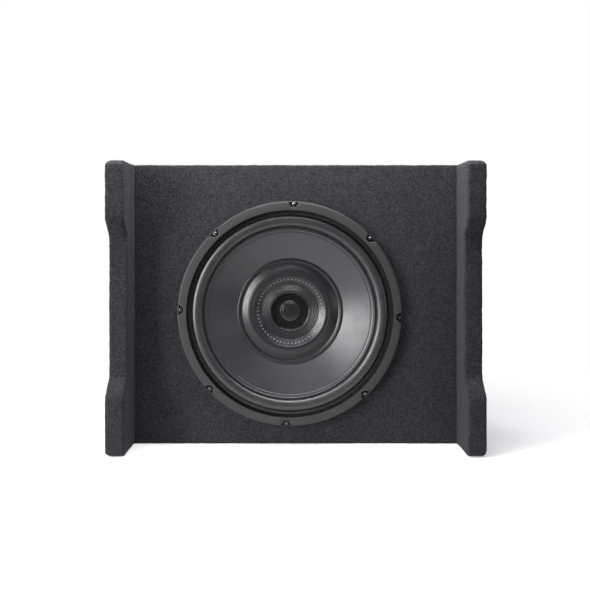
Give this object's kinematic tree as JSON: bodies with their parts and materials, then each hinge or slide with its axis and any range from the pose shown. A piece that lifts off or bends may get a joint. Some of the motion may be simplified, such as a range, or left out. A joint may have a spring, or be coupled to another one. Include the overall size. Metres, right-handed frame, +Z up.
{
  "type": "powered car subwoofer",
  "caption": "Shallow carpeted down-firing subwoofer box on four legs, with a recessed cone woofer and a built-in amplifier panel.",
  "frame": {"origin": "centre of the base that the box stands on, which is its long lower wall", "axes": "+X right along the long side, +Y to the back, away from the woofer's face, +Z up"},
  "size_m": [0.506, 0.2, 0.3949],
  "materials": {
    "mdf": "raw medium density fibreboard",
    "carpet": "needle-felt charcoal carpet",
    "foam_seal": "closed-cell foam",
    "basket_steel": "black powder coat on pressed steel",
    "gasket_rubber": "satin moulded rubber",
    "screw_zinc": "zinc plated",
    "surround_rubber": "smooth butyl rubber",
    "cone_poly": "satin polypropylene",
    "cap_poly": "satin moulded plastic",
    "disc_gloss": "polished black",
    "former_paper": "coil former film",
    "copper": "enamelled copper wire",
    "spider_cloth": "resin-dipped cotton",
    "motor_steel": "zinc-passivated machined steel",
    "ferrite": "sintered ferrite",
    "phenolic": "phenolic board",
    "post_brass": "nickel and brass terminals",
    "braid": "braided tinsel lead",
    "wire_sheath": "red and black insulated wire",
    "panel_alu": "black textured powder coat on cast aluminium",
    "panel_screw": "black oxide",
    "chassis_steel": "galvanised sheet",
    "pcb": "solder mask",
    "cap_sleeve": "shrink sleeve",
    "heat_alu": "extruded",
    "chip_epoxy": "moulded epoxy",
    "knob_plastic": "fine-textured",
    "pot_body": "moulded",
    "lever_plastic": "satin",
    "jack_plastic": "moulded",
    "jack_gold": "gold plated",
    "ring_plastic": "white and red insulators",
    "socket_nylon": "natural nylon",
    "fuse_body": "translucent amber",
    "led_lens": "tinted lens"
  },
  "bodies": {
    "cabinet": {"side_board_left": "mdf", "side_board_right": "mdf", "top_board": "mdf", "bottom_board": "mdf", "back_board": "mdf", "baffle_board": "mdf", "carpet_left": "carpet", "carpet_right": "carpet", "carpet_wrap": "carpet", "driver_seal": "foam_seal", "basket": "basket_steel", "trim_gasket": "gasket_rubber", "driver_screws": "screw_zinc", "surround": "surround_rubber", "spider": "spider_cloth", "front_plate": "motor_steel", "magnet": "ferrite", "yoke": "motor_steel", "motor_screws": "screw_zinc", "terminal_board": "phenolic", "driver_posts": "post_brass", "tinsel_leads": "braid", "speaker_wires": "wire_sheath", "amp_seal": "foam_seal", "amp_panel": "panel_alu", "amp_screws": "panel_screw", "amp_chassis": "chassis_steel", "wire_grommet": "foam_seal", "circuit_board": "pcb", "toroid": "copper", "capacitors": "cap_sleeve", "heat_bar": "heat_alu", "transistors": "chip_epoxy", "chassis_screws": "screw_zinc", "gain_pot": "pot_body", "crossover_pot": "pot_body", "boost_pot": "pot_body", "switch_bodies": "pot_body", "rca_base": "jack_plastic", "rca_jacks": "jack_gold", "rca_rings": "ring_plastic", "level_socket": "socket_nylon", "socket_pins": "jack_gold", "remote_jack": "jack_plastic", "power_block": "jack_plastic", "power_screws": "screw_zinc", "fuse_holders": "jack_plastic", "status_leds": "led_lens"},
    "cone_assembly": {"cone": "cone_poly", "dust_cap": "cap_poly", "cap_disc": "disc_gloss", "coil_former": "former_paper", "voice_coil": "copper"},
    "gain": {"gain_knob": "knob_plastic"},
    "crossover": {"crossover_knob": "knob_plastic"},
    "boost": {"boost_knob": "knob_plastic"},
    "phase_switch": {"phase_lever": "lever_plastic"},
    "input_switch": {"input_lever": "lever_plastic"},
    "first_fuse": {"fuse_1": "fuse_body"},
    "second_fuse": {"fuse_2": "fuse_body"}
  },
  "joints": [
    {"name": "cone_travel", "type": "slide", "parent": "cabinet", "child": "cone_assembly", "axis": [0, 1, 0], "range_m": [-0.008, 0.008], "stiffness_N_per_m": 4500, "deforming": ["surround", "spider", "tinsel_leads"]},
    {"name": "gain_turn", "type": "hinge", "parent": "cabinet", "child": "gain", "pos_m": [-0.13, 0.0485, 0.3809], "axis": [0, 0, 1], "range_deg": [-150, 150]},
    {"name": "crossover_turn", "type": "hinge", "parent": "cabinet", "child": "crossover", "pos_m": [-0.102, 0.0485, 0.3809], "axis": [0, 0, 1], "range_deg": [-150, 150]},
    {"name": "boost_turn", "type": "hinge", "parent": "cabinet", "child": "boost", "pos_m": [-0.074, 0.0485, 0.3809], "axis": [0, 0, 1], "range_deg": [-150, 150]},
    {"name": "phase_slide", "type": "slide", "parent": "cabinet", "child": "phase_switch", "axis": [1, 0, 0], "range_m": [0, 0.003]},
    {"name": "input_slide", "type": "slide", "parent": "cabinet", "child": "input_switch", "axis": [1, 0, 0], "range_m": [0, 0.003]},
    {"name": "first_fuse_pull", "type": "slide", "parent": "cabinet", "child": "first_fuse", "axis": [0, 0, 1], "range_m": [0, 0.014]},
    {"name": "second_fuse_pull", "type": "slide", "parent": "cabinet", "child": "second_fuse", "axis": [0, 0, 1], "range_m": [0, 0.014]}
  ]
}
